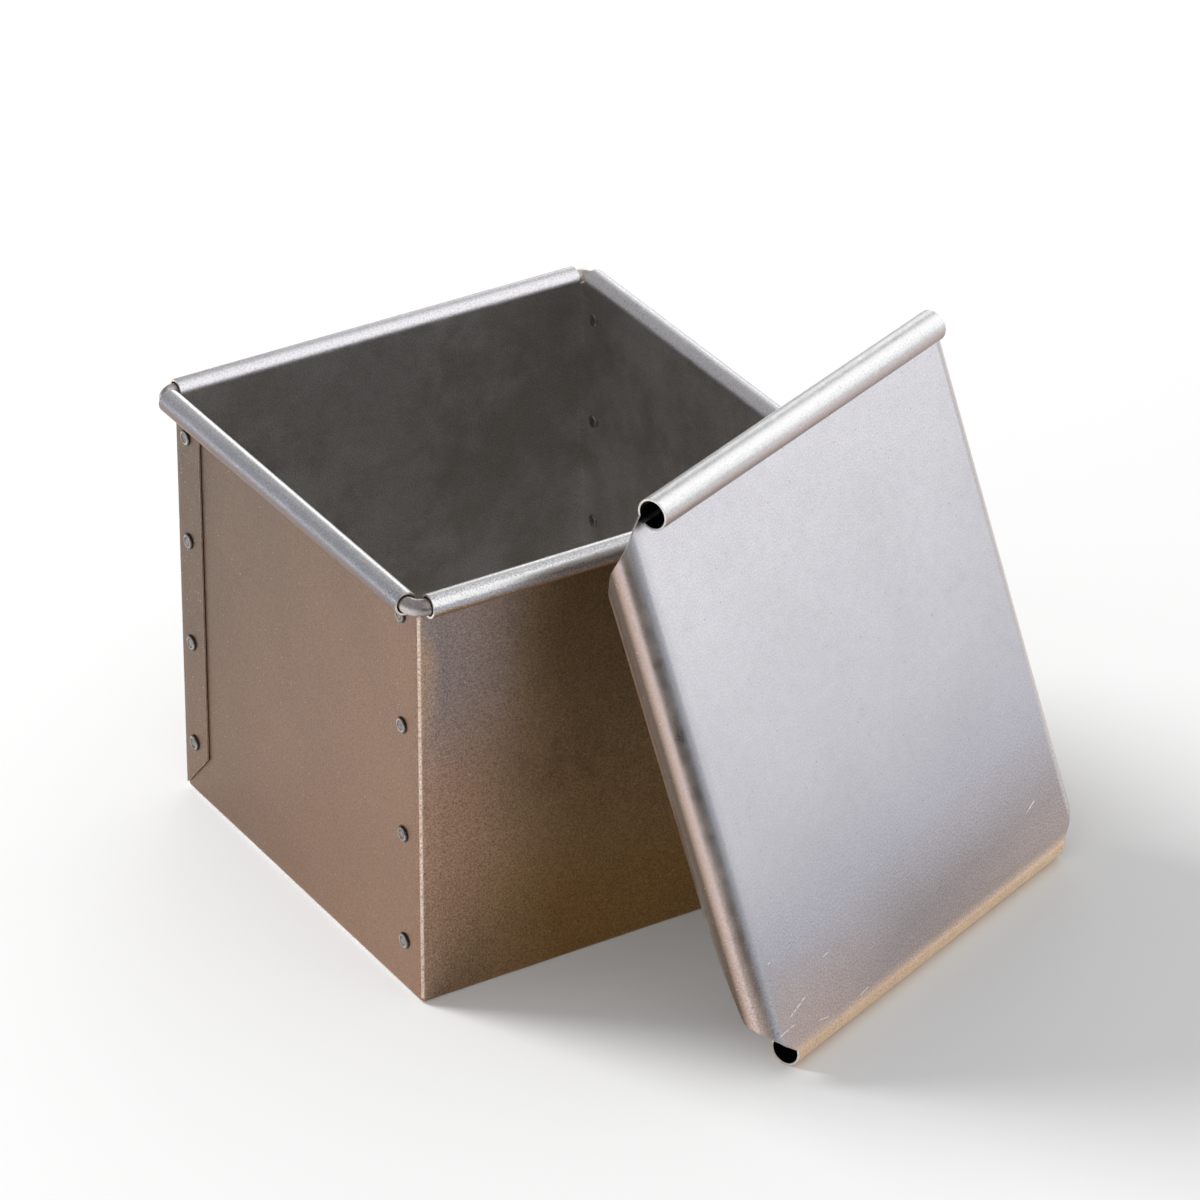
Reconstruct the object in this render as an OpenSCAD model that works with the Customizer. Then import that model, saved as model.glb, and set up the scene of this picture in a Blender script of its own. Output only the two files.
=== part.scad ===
// Square pullman loaf pan with a sliding lid, all in thin aluminised sheet steel.
// The pan is one folded blank, riveted at its four corners, with its rim rolled round a wire.
// The lid stands on its stop roll beside the pan and leans on the front right corner of the rim.
// Millimetres. X runs to the right along the front wall, Y to the back, Z up from the table.

/* [Pan] */
// Width of the inside, between the two side walls
inner_w = 120; // [90:1:160]
// Depth of the inside, from the front wall to the back wall
inner_d = 120; // [90:1:300]
// Height of the pan, from the table to the top of the rim
pan_h = 119; // [80:1:160]
// Thickness of the sheet that the pan and the lid are folded from
sheet = 0.6; // [0.4:0.1:0.8]
// Outside radius of the folds along the bottom and up the corners
fold_r = 1.6; // [1.2:0.1:2.4]

/* [Rim] */
// Diameter of the wire inside the rolled rim
wire_d = 4.3; // [3:0.1:6]
// Clearance between the wire and the sheet rolled round it
wire_gap = 0.35; // [0.1:0.05:0.5]
// Distance from the inside corner of the pan back to the cut end of each roll
roll_stop = 0.7; // [0.5:0.1:3]
// Width of the slit left between the free edge of the roll and the wall
roll_slit = 0.15; // [0.1:0.05:0.4]

/* [Corner laps] */
// Width of the end flaps, from the outside of the wall that they belong to
lap_w = 12.6; // [11:0.1:25]
// Clearance between a flap and the side wall that it is riveted to
lap_gap = 0.1; // [0.05:0.05:0.2]
// Gap between the top of a flap and the underside of the roll
lap_top_gap = 1; // [0.5:0.1:3]
// Rise of the cut along the bottom of a flap, for each millimetre of its width
lap_mitre = 1.1; // [0.6:0.1:1.4]

/* [Rivets] */
// Number of rivets in each corner
rivets = 4; // [2:1:6]
// Diameter of the head, outside the pan
rivet_head_d = 4.2; // [3.4:0.1:6]
// Height of the head
rivet_head_h = 0.7; // [0.5:0.1:1.2]
// Diameter of the shank through both layers
rivet_shank_d = 2.4; // [1.6:0.1:3]
// Diameter of the tail that is closed inside the pan
rivet_tail_d = 3.6; // [3.2:0.1:5]
// Height of the tail
rivet_tail_h = 0.5; // [0.3:0.1:1]
// Clearance of the shank in its hole, all round
rivet_hole_gap = 0.05; // [0.02:0.01:0.1]
// Rivet row of a front corner, measured back from the outside of the front wall
front_row_in = 8.3; // [6:0.1:9]
// Rivet row of a back corner, measured forward from the outside of the back wall
back_row_in = 6.2; // [6:0.1:9]
// Height of the lowest rivet in a front corner
front_row_low = 14.6; // [13:0.1:25]
// Height of the lowest rivet in a back corner
back_row_low = 16.5; // [13:0.1:25]
// Top rivet of a front corner, measured down from the underside of the roll
front_row_top = 4; // [3.5:0.1:12]
// Top rivet of a back corner, measured down from the underside of the roll
back_row_top = 5.7; // [3.5:0.1:12]

/* [Lid] */
// Outside diameter of the stop roll and of the draw roll
end_roll_d = 8.4; // [6:0.1:12]
// Distance that the end rolls stop short of the bend into the side channels
end_roll_short = 3.6; // [2:0.1:8]
// Distance from the pan's rim to the axis of the draw roll, with the lid closed
lid_over = 6.4; // [5:0.1:15]
// Outside radius of the round side channels
channel_r = 6; // [5:0.1:8]
// Clearance between a side channel and the rim that runs in it
channel_gap = 2.5; // [0.5:0.1:4]
// Angle that the channel turns past straight down, to hook under the rim
channel_hook = 10; // [0:1:12]
// Length that the corner cuts at the stop roll take off the edges of the flat panel
stop_cut = 3; // [1:0.1:6]
// Length that the corner cuts at the draw roll take off the edges of the flat panel
draw_cut = 2.2; // [1:0.1:6]
// Run of the corner cuts along the lid, for each millimetre across the blank
cut_slope = 0.95; // [0.7:0.05:1.4]
// Run of the taper in the channel's lip at the stop roll, for each millimetre down
stop_lip_slope = 6.5; // [1:0.5:10]
// Run of the taper in the channel's lip at the draw roll, for each millimetre down
draw_lip_slope = 1.6; // [1:0.1:4]

/* [Lid at rest] */
// Turn of the lid away from the line of the front wall, in degrees
lid_yaw = 22; // [10:1:35]
// Lean of the lid from upright, in degrees
lid_lean = 20; // [15:1:30]
// Distance from the middle of the lid to the place where the rim touches it
lid_touch = 18.2; // [-30:0.1:30]
// Clearance between the back of the lid and the rim that it leans on
lid_clear = 0.3; // [0.2:0.05:0.5]

/* [Hidden] */
$fn = 64;
// Overshoot of cutting solids past the faces that they cut
over = 1;
// Half the inside of the pan
hw = inner_w / 2;
hd = inner_d / 2;
// Rolled rim: outer radius, height of its axis, and where its underside is
wire_r = wire_d / 2;
rim_r = wire_r + wire_gap + sheet;
rim_z = pan_h - rim_r;
rim_low = pan_h - 2 * rim_r;
// Height at which the corners of the blank are notched out under the rim
corner_top = rim_low - lap_top_gap;
// Clearance between the bottom fold and the start of a flap
lap_foot = sheet;
// Rivets: the stack that they hold, the slope of the head's edge and its shallow dish
grip = 2 * sheet + lap_gap;
head_flat_r = rivet_head_d * 0.4;
dish_r = rivet_head_d * 0.28;
dish_h = rivet_head_h * 0.2;
// Lid: rolls, flat width between the channels, and length between the roll axes
end_r = end_roll_d / 2;
flat_half = hw + 2 * rim_r + channel_gap - (channel_r - sheet);
roll_half = flat_half - end_roll_short;
lid_l = end_r + inner_d + 4 * rim_r + lid_over;
// Depth that the taper in a channel's lip reaches, and the lowest that the cuts go
lip_low = 1.7 * channel_r;
channel_low = 2 * channel_r + over;
// Place of the leaning lid: outward direction of its face, and how far the rim's
// front right corner reaches along it, at the cut end of the front roll or at the wire
tilt = 90 - lid_lean;
face = [sin(lid_yaw) * sin(tilt), -cos(lid_yaw) * sin(tilt), cos(tilt)];
across = [cos(lid_yaw), sin(lid_yaw), 0];
roll_end = [hw - roll_stop, -hd - rim_r, rim_z];
roll_reach = roll_end * face + rim_r * sqrt(1 - face[0] * face[0]);
elbow_r = rim_r + roll_stop;
elbow = [hw - roll_stop + elbow_r * sin(lid_yaw), -hd + roll_stop - elbow_r * cos(lid_yaw), rim_z];
wire_reach = elbow * face + wire_r;
reach = max(roll_reach, wire_reach);
lid_along = roll_end * across - lid_touch;
lid_out = (reach + lid_clear + sheet - end_r * (1 + cos(tilt))) / sin(tilt);
lid_x = lid_along * cos(lid_yaw) + lid_out * sin(lid_yaw);
lid_y = lid_along * sin(lid_yaw) - lid_out * cos(lid_yaw);
// The four corners: name, side of the pan, and whether the lap is at the front
CORNERS = [
    ["front_left", -1, true],
    ["front_right", 1, true],
    ["back_left", -1, false],
    ["back_right", 1, false]
];

function rivet_name(corner, i) = str("rivet_", corner, "_", i);

// Height of rivet i in a front or a back corner, spread evenly from the lowest to the highest
function rivet_z(front, i) =
    let (low = front ? front_row_low : back_row_low)
    let (high = rim_low - (front ? front_row_top : back_row_top))
    low + (i - 1) * (high - low) / (rivets - 1);

// Place of the rivet row on a side wall
function rivet_y(front) = front ? front_row_in - hd - sheet : hd + sheet - back_row_in;

// Outside of the layers that the rivets hold, measured from the middle of the pan
function rivet_x(front) = hw + sheet + (front ? 0 : lap_gap + sheet);

// Runs a flat profile along X. Its x becomes Y, and its y becomes Z.
module run_along_x(half) {
    rotate([90, 0, 90])
        linear_extrude(height = 2 * half, center = true)
            children();
}

// Runs a flat profile along Y. Its x becomes X, and its y becomes Z.
module run_along_y(from, to) {
    translate([0, to, 0])
        rotate([90, 0, 0])
            linear_extrude(height = to - from)
                children();
}

// Quarter of a fold in the sheet, round the origin, open towards -x and +y
module fold_quarter() {
    intersection() {
        difference() {
            circle(r = fold_r);
            circle(r = fold_r - sheet);
        }
        translate([0, -fold_r - over])
            square(fold_r + over);
    }
}

// Section of the rolled rim: a ring with a gap where its free edge meets the wall.
// The inner face of the wall, at x = 0, runs on into the outside of the roll.
module rim_section() {
    slit = acos((rim_r - sheet) / rim_r) + roll_slit / rim_r * 180 / PI;
    translate([rim_r, rim_z])
        difference() {
            circle(r = rim_r);
            circle(r = rim_r - sheet);
            polygon([[0, 0], [-2 * rim_r, 0], [-2 * rim_r, -2 * rim_r * tan(slit)]]);
        }
    translate([0, corner_top])
        square([sheet, rim_z - corner_top]);
}

// Bottom of the pan with its four folded edges and rounded corners
module pan_bottom() {
    flat_x = hw + sheet - fold_r;
    flat_y = hd + sheet - fold_r;
    translate([-flat_x, -flat_y, 0])
        cube([2 * flat_x, 2 * flat_y, sheet]);
    for (side = [0, 1]) {
        mirror([0, side, 0])
            run_along_x(flat_x)
                translate([flat_y, fold_r])
                    fold_quarter();
        mirror([side, 0, 0])
            run_along_y(-flat_y, flat_y)
                translate([flat_x, fold_r])
                    fold_quarter();
    }
    for (sx = [0, 1], sy = [0, 1])
        mirror([sx, 0, 0])
            mirror([0, sy, 0])
                translate([flat_x, flat_y, fold_r])
                    intersection() {
                        difference() {
                            sphere(r = fold_r);
                            sphere(r = fold_r - sheet);
                        }
                        translate([0, 0, -fold_r - over])
                            cube(fold_r + over);
                    }
}

// Side wall, flat from its raw front edge to just inside the back wall, with its rolled rim
module side_wall() {
    translate([hw, -hd - sheet, fold_r])
        cube([sheet, inner_d + sheet - lap_gap, corner_top - fold_r]);
    run_along_y(-hd + roll_stop, hd - roll_stop)
        translate([hw, 0])
            rim_section();
}

// Front or back wall with its rolled rim. It ends where its corner folds begin, at x = half.
module end_wall(half) {
    translate([-half, hd, fold_r])
        cube([2 * half, sheet, corner_top - fold_r]);
    run_along_x(hw - roll_stop)
        translate([hd, 0])
            rim_section();
}

// Corner fold and end flap of a front or back wall, on the right. The flap's outer face is at x.
module end_flap(x) {
    foot = fold_r + lap_foot;
    fold_y = hd + sheet - fold_r;
    free_y = hd + sheet - lap_w;
    translate([x - fold_r, fold_y, foot])
        linear_extrude(height = corner_top - foot)
            mirror([0, 1])
                fold_quarter();
    translate([x - sheet, 0, 0])
        rotate([90, 0, 90])
            linear_extrude(height = sheet)
                polygon([
                    [fold_y, foot],
                    [fold_y, corner_top],
                    [free_y, corner_top],
                    [free_y, foot + lap_mitre * (fold_y - free_y)]
                ]);
}

// Front wall, with both flaps tucked inside the side walls
module front_end() {
    flap_x = hw - lap_gap;
    mirror([0, 1, 0]) {
        end_wall(flap_x - fold_r);
        end_flap(flap_x);
        mirror([1, 0, 0])
            end_flap(flap_x);
    }
}

// Back wall, with both flaps wrapped round the outside of the side walls
module back_end() {
    flap_x = hw + sheet + lap_gap + sheet;
    end_wall(flap_x - fold_r);
    end_flap(flap_x);
    mirror([1, 0, 0])
        end_flap(flap_x);
}

// Holes for the rivets of one corner, through both layers
module rivet_holes(side, front) {
    for (i = [1 : rivets])
        translate([side * hw, rivet_y(front), rivet_z(front, i)])
            rotate([0, 90, 0])
                cylinder(r = rivet_shank_d / 2 + rivet_hole_gap, h = 2 * (grip + over), center = true);
}

// Pan body: one blank, folded up at the bottom, rolled at the rim and lapped at the corners
module pan_body() {
    color([0.6, 0.57, 0.54])
        difference() {
            union() {
                pan_bottom();
                side_wall();
                mirror([1, 0, 0])
                    side_wall();
                front_end();
                back_end();
            }
            for (corner = CORNERS)
                rivet_holes(corner[1], corner[2]);
        }
}

// Rim wire: one closed loop, straight inside the rolls and bent to bare elbows at the corners
module rim_wire() {
    straight_x = hw - roll_stop;
    straight_y = hd - roll_stop;
    color([0.7, 0.68, 0.66])
        translate([0, 0, rim_z])
            union()
                for (s = [-1, 1]) {
                    translate([0, s * (hd + rim_r), 0])
                        rotate([0, 90, 0])
                            cylinder(r = wire_r, h = 2 * straight_x, center = true);
                    translate([s * (hw + rim_r), 0, 0])
                        rotate([90, 0, 0])
                            cylinder(r = wire_r, h = 2 * straight_y, center = true);
                    for (t = [-1, 1])
                        translate([s * straight_x, t * straight_y, 0])
                            rotate([0, 0, s > 0 ? (t > 0 ? 0 : -90) : (t > 0 ? 90 : 180)])
                                rotate_extrude(angle = 90)
                                    translate([elbow_r, 0])
                                        circle(r = wire_r);
                }
}

// Rivet: dished head outside, shank through both layers, flat tail closed inside.
// The head's underside is at the origin, and the head points along +x.
module rivet() {
    head_r = rivet_head_d / 2;
    shank_r = rivet_shank_d / 2;
    tail_r = rivet_tail_d / 2;
    tail_bevel = rivet_tail_h / 2;
    color([0.45, 0.44, 0.43])
        rotate([0, 90, 0])
            rotate_extrude()
                polygon([
                    [0, rivet_head_h - dish_h],
                    [dish_r, rivet_head_h - dish_h],
                    [head_flat_r, rivet_head_h],
                    [head_r, rivet_head_h / 3],
                    [head_r, 0],
                    [shank_r, 0],
                    [shank_r, -grip],
                    [tail_r, -grip],
                    [tail_r, -grip - tail_bevel],
                    [tail_r - tail_bevel, -grip - rivet_tail_h],
                    [0, -grip - rivet_tail_h]
                ]);
}

// Rivet i of a corner, in its place on the side wall
module corner_rivet(side, front, i) {
    translate([side * rivet_x(front), rivet_y(front), rivet_z(front, i)])
        mirror([side > 0 ? 0 : 1, 0, 0])
            rivet();
}

// Section of a hollow end roll, round the origin. It starts on top and turns towards -x,
// then down and round until its free edge meets the sheet again.
module end_roll_section() {
    slit = acos((end_r - sheet) / end_r) + roll_slit / end_r * 180 / PI;
    difference() {
        circle(r = end_r);
        circle(r = end_r - sheet);
        polygon([[0, 0], [0, 2 * end_r], [2 * end_r * tan(slit), 2 * end_r]]);
    }
}

// Section of the right side channel: round from the top, outwards and down, to its hook
module channel_section() {
    reach_out = 2 * channel_r;
    translate([flat_half, -channel_r])
        difference() {
            circle(r = channel_r);
            circle(r = channel_r - sheet);
            polygon([
                [0, 0],
                [0, reach_out],
                [-reach_out, reach_out],
                [-reach_out, -reach_out],
                [-reach_out * tan(channel_hook), -reach_out]
            ]);
        }
}

// Waste at one end of a side channel, seen from the side with the end of the lid at x = 0.
// The cut is straight on the blank, so it curves round the channel. The lip tapers below it.
module channel_waste(cut, lip_slope) {
    side_run = cut + cut_slope * channel_r * PI / 2;
    lip_run = side_run + lip_slope * (lip_low - channel_r);
    polygon(concat(
        [[-over, over], [cut, over]],
        [
            for (a = [0 : 15 : 90])
                [cut + cut_slope * channel_r * a * PI / 180, -channel_r * (1 - cos(a))]
        ],
        [
            [lip_run, -lip_low],
            [lip_run + channel_low - lip_low, -channel_low],
            [-over, -channel_low]
        ]
    ));
}

// Right side channel, cut back at both ends
module side_channel() {
    difference() {
        run_along_y(0, lid_l)
            channel_section();
        translate([flat_half, 0, 0])
            run_along_x(2 * channel_r) {
                channel_waste(stop_cut, stop_lip_slope);
                translate([lid_l, 0])
                    mirror([1, 0])
                        channel_waste(draw_cut, draw_lip_slope);
            }
    }
}

// Lid, flat, with its outer face at z = 0 and the stop roll's axis under y = 0:
// the stop roll is curled down under the panel, and the draw roll up on its outer face.
module lid_flat() {
    translate([0, 0, -sheet])
        linear_extrude(height = sheet)
            polygon([
                [-roll_half, 0],
                [roll_half, 0],
                [flat_half, stop_cut],
                [flat_half, lid_l - draw_cut],
                [roll_half, lid_l],
                [-roll_half, lid_l],
                [-flat_half, lid_l - draw_cut],
                [-flat_half, stop_cut]
            ]);
    run_along_x(roll_half)
        translate([0, -end_r])
            end_roll_section();
    run_along_x(roll_half)
        translate([lid_l, end_r - sheet])
            rotate(180)
                end_roll_section();
    side_channel();
    mirror([1, 0, 0])
        side_channel();
}

// Lid as it stands: on its stop roll on the table, turned, and leaning on the rim's corner
module lid() {
    color([0.78, 0.78, 0.8])
        translate([lid_x, lid_y, end_r])
            rotate([0, 0, lid_yaw])
                rotate([tilt, 0, 0])
                    translate([0, 0, end_r])
                        lid_flat();
}

pan_body();
rim_wire();
lid();
for (corner = CORNERS)
    for (i = [1 : rivets])
        corner_rivet(corner[1], corner[2], i);
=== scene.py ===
"""Square pullman loaf pan and its sliding lid, in aluminised sheet steel.

The pan is one folded blank, riveted at its corners, with its rim rolled round a wire. The lid stands on
its stop roll and leans on the front right corner of the rim. Metres; X right, Y back, Z up.
"""

import math

import bmesh
import bpy
from mathutils import Matrix, Vector


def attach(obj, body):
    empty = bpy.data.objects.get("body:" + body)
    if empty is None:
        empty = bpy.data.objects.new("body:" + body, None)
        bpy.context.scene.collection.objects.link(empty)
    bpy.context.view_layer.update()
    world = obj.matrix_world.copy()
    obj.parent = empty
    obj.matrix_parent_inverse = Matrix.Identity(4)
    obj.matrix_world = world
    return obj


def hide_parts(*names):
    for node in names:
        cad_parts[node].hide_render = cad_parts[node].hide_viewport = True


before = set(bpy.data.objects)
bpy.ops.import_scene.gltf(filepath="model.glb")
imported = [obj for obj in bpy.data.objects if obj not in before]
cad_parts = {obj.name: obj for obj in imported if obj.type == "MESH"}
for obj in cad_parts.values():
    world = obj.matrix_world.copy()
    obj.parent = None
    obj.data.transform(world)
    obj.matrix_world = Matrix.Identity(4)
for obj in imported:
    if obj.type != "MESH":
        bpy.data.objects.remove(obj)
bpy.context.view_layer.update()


# Camera: a long lens, from the front left and above, aimed at the middle of the pan and the lid.
view_turn = math.radians(-31.7958)
view_height = math.radians(30.435)
view_roll = math.radians(0.2329)
view_distance = 1.756743
aim_across = 0.0242288
aim_height = 0.068078
film_width = 36
lens_length = 207.289
nearest_seen = 0.05
furthest_seen = 20

ahead = Vector((
    -math.sin(view_turn) * math.cos(view_height),
    math.cos(view_turn) * math.cos(view_height),
    -math.sin(view_height),
))
level = Vector((math.cos(view_turn), math.sin(view_turn), 0))
upward = level.cross(ahead)
right = level * math.cos(view_roll) + upward * math.sin(view_roll)
top = upward * math.cos(view_roll) - level * math.sin(view_roll)
stand = level * aim_across + Vector((0, 0, aim_height)) - ahead * view_distance


def put_in_scene(name, data):
    """A new object of that name, in the scene."""
    thing = bpy.data.objects.new(name, data)
    bpy.context.scene.collection.objects.link(thing)
    return thing


camera_lens = bpy.data.cameras.new("camera")
camera_lens.sensor_width = film_width
camera_lens.lens = lens_length
camera_lens.clip_start = nearest_seen
camera_lens.clip_end = furthest_seen
camera = put_in_scene("camera", camera_lens)
camera.matrix_world = Matrix((
    (right.x, top.x, -ahead.x, stand.x),
    (right.y, top.y, -ahead.y, stand.y),
    (right.z, top.z, -ahead.z, stand.z),
    (0, 0, 0, 1),
))
bpy.context.scene.camera = camera
bpy.context.scene.view_settings.view_transform = "Standard"


# Floor: one wide pale sheet of paper under the pan. It keeps the shadow of the pan and the lid.
square = ((-1, -1), (1, -1), (1, 1), (-1, 1))
floor_half = 6
floor_drop = 0.00005
floor_colour = (0.93, 0.93, 0.93, 1)
floor_lift = 0.05

floor_mesh = bpy.data.meshes.new("floor")
floor_mesh.from_pydata(
    [(x * floor_half, y * floor_half, -floor_drop) for x, y in square],
    [],
    [(0, 1, 2, 3)],
)
floor = put_in_scene("floor", floor_mesh)
paper = bpy.data.materials.new("floor_paper")
paper.use_nodes = True
nodes, links = paper.node_tree.nodes, paper.node_tree.links
nodes.clear()
paper_out = nodes.new("ShaderNodeOutputMaterial")
paper_diffuse = nodes.new("ShaderNodeBsdfDiffuse")
paper_diffuse.inputs["Color"].default_value = floor_colour
paper_glow = nodes.new("ShaderNodeEmission")
paper_sum = nodes.new("ShaderNodeAddShader")
seen_by = nodes.new("ShaderNodeLightPath")
seen = nodes.new("ShaderNodeMath")
seen.operation = "MAXIMUM"
seen_through = nodes.new("ShaderNodeMath")
seen_through.operation = "MAXIMUM"
lift = nodes.new("ShaderNodeMath")
lift.operation = "MULTIPLY"
lift.inputs[1].default_value = floor_lift
links.new(seen_by.outputs["Is Camera Ray"], seen.inputs[0])
links.new(seen_by.outputs["Is Glossy Ray"], seen.inputs[1])
links.new(seen.outputs[0], seen_through.inputs[0])
links.new(seen_by.outputs["Is Transmission Ray"], seen_through.inputs[1])
links.new(seen_through.outputs[0], lift.inputs[0])
links.new(lift.outputs[0], paper_glow.inputs["Strength"])
links.new(paper_diffuse.outputs[0], paper_sum.inputs[0])
links.new(paper_glow.outputs[0], paper_sum.inputs[1])
links.new(paper_sum.outputs[0], paper_out.inputs["Surface"])
floor_mesh.materials.append(paper)


# Light: a pale room, brighter above and to the right, a soft lamp behind on the left that casts the
# shadow, a soft box behind on the right, and a black card in front that the bent edges mirror.
room_left = 0.40
room_right = 1.28
room_right_way = Vector((0.85, -0.45, 0.27)).normalized()
room_left_ends = 0.30
room_right_starts = 0.72
room_fill = 0.67
key_power = 94
key_size = 1.5
key_place = Vector((-1.75, 2.1, 2.25))
box_power = 1.6
box_size = 0.7
box_place = Vector((0.80, 1.00, 0.51))
card_middle = Vector((-0.075, -0.36, 0.0775))
card_width = 0.28
card_height = 0.155
card_black = (0.02, 0.02, 0.02, 1)
lamp_aim = Vector((0, 0, 0.06))


def lamp(name, shape_size, power, place_at, aim):
    """A soft area lamp that points at a place on the object."""
    light = bpy.data.lights.new(name, "AREA")
    light.shape = "DISK"
    light.size = shape_size
    light.energy = power
    stand_at = put_in_scene(name, light)
    stand_at.location = place_at
    stand_at.rotation_mode = "QUATERNION"
    stand_at.rotation_quaternion = (aim - place_at).to_track_quat("-Z", "Y")
    return stand_at


lamp("key", key_size, key_power, key_place, lamp_aim).visible_glossy = False
lamp("soft box", box_size, box_power, box_place, lamp_aim)

room = bpy.data.worlds.new("room")
bpy.context.scene.world = room
room.use_nodes = True
nodes, links = room.node_tree.nodes, room.node_tree.links
nodes.clear()
room_out = nodes.new("ShaderNodeOutputWorld")
room_glow = nodes.new("ShaderNodeBackground")
room_way = nodes.new("ShaderNodeTexCoord")
room_side = nodes.new("ShaderNodeVectorMath")
room_side.operation = "DOT_PRODUCT"
room_side.inputs[1].default_value = room_right_way
room_level = nodes.new("ShaderNodeMapRange")
room_level.interpolation_type = "SMOOTHSTEP"
room_level.inputs["From Min"].default_value = room_left_ends
room_level.inputs["From Max"].default_value = room_right_starts
room_level.inputs["To Min"].default_value = room_left
room_level.inputs["To Max"].default_value = room_right
links.new(room_way.outputs["Generated"], room_side.inputs[0])
links.new(room_side.outputs["Value"], room_level.inputs["Value"])
room_rays = nodes.new("ShaderNodeLightPath")
room_strength = nodes.new("ShaderNodeMix")
room_strength.inputs["B"].default_value = room_fill
links.new(room_rays.outputs["Is Diffuse Ray"], room_strength.inputs["Factor"])
links.new(room_level.outputs["Result"], room_strength.inputs["A"])
links.new(room_strength.outputs["Result"], room_glow.inputs["Strength"])
links.new(room_glow.outputs[0], room_out.inputs["Surface"])

card_mesh = bpy.data.meshes.new("black card")
card_mesh.from_pydata(
    [
        (card_middle.x + x * card_width / 2, card_middle.y, card_middle.z + z * card_height / 2)
        for x, z in square
    ],
    [],
    [(0, 1, 2, 3)],
)
card = put_in_scene("black card", card_mesh)
card.visible_camera = False
card.visible_diffuse = False
card.visible_shadow = False
black = bpy.data.materials.new("black_card")
black.use_nodes = True
felt = black.node_tree.nodes["Principled BSDF"]
felt.inputs["Base Color"].default_value = card_black
felt.inputs["Roughness"].default_value = 1
felt.inputs["Specular IOR Level"].default_value = 0
card_mesh.materials.append(black)


# Pan body: one blank of aluminised sheet steel, folded up along the bottom. The front wall's flaps are
# tucked inside the side walls and the back wall's flaps wrap round them; each top edge is rolled outwards.
mm = 0.001
degree = math.radians(1)
sheet = 0.6
half_sheet = sheet / 2
inner_half = 60
bend = 1.6
bend_mid = bend - half_sheet
bottom_half = inner_half + sheet - bend
notch_top = 111.8
rim_axis = 115.9
rim_radius = 3.1
rim_mid = rim_radius - half_sheet
curl_gap = 0.15
rim_open = math.degrees(math.acos((rim_radius - sheet) / rim_radius) + curl_gap / rim_radius)
rim_cut = 0.7
rim_end = inner_half - rim_cut
lap_clear = 0.1
lap_width = 12.6
lap_edge = inner_half + sheet - lap_width
lap_foot = bend + sheet
lap_mitre = 1.1
front_bend = 1.0
front_bend_mid = front_bend - half_sheet
dressed_bend = 0.8
dressed_reach = 58.5
dressed_lift = 0.02
flap_ease = 0.2
tab_short = 0.3
tab_past = 0.2
tab_back = 0.05
raw_edge = 0.09
edge_steps = 2
edge_angle = 50
weld = 0.00002
wall_strips = 24
wall_steps = 20
bend_steps = 8
flap_steps = 5
roll_steps = 44


def spread(start, end, count):
    """Evenly spaced values from start to end, both included."""
    return [start + (end - start) * i / count for i in range(count + 1)]


def grid_faces(work, rows):
    """Adds a grid of points, given row by row, as quads."""
    verts = [[work.verts.new([c * mm for c in point]) for point in row] for row in rows]
    for low, high in zip(verts, verts[1:]):
        for a, b, c, d in zip(low, low[1:], high[1:], high):
            work.faces.new((a, b, c, d))


def sheet_piece(name, work, thickness, edge_radius):
    """Turns the middle surface of a folded blank into a piece of that thickness, with softened cut edges."""
    bmesh.ops.remove_doubles(work, verts=work.verts, dist=weld)
    bmesh.ops.recalc_face_normals(work, faces=work.faces)
    mesh = bpy.data.meshes.new(name)
    work.to_mesh(mesh)
    work.free()
    mesh.polygons.foreach_set("use_smooth", [True] * len(mesh.polygons))
    piece = put_in_scene(name, mesh)
    solid = piece.modifiers.new("sheet thickness", "SOLIDIFY")
    solid.thickness = thickness * mm
    solid.offset = 0
    solid.use_even_offset = True
    solid.use_quality_normals = True
    solid.material_offset_rim = 1
    soft = piece.modifiers.new("cut edges", "BEVEL")
    soft.width = edge_radius * mm
    soft.segments = edge_steps
    soft.limit_method = "ANGLE"
    soft.angle_limit = math.radians(edge_angle)
    soft.harden_normals = True
    return piece


def turned(side, across, out, z):
    """Place of a point given along a wall, outwards from the middle of the pan, and up."""
    if side == 0:
        return (across, -out, z)
    if side == 1:
        return (out, across, z)
    if side == 2:
        return (across, out, z)
    return (-out, across, z)


blank = bmesh.new()
bottom_lines = spread(-bottom_half, bottom_half, wall_strips)
grid_faces(blank, [[(x, y, half_sheet) for x in bottom_lines] for y in bottom_lines])

# The quarter bends along the bottom, and the four closed corners between them
bend_angles = [math.radians(a) for a in spread(0, 90, bend_steps)]
for side in range(4):
    grid_faces(blank, [
        [
            turned(side, s, bottom_half + bend_mid * math.sin(a), bend - bend_mid * math.cos(a))
            for s in bottom_lines
        ]
        for a in bend_angles
    ])
for side_x in (-1, 1):
    for side_y in (-1, 1):
        grid_faces(blank, [
            [
                (
                    side_x * (bottom_half + bend_mid * math.sin(a) * math.cos(b)),
                    side_y * (bottom_half + bend_mid * math.sin(a) * math.sin(b)),
                    bend - bend_mid * math.cos(a),
                )
                for b in bend_angles
            ]
            for a in bend_angles
        ])

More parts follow.
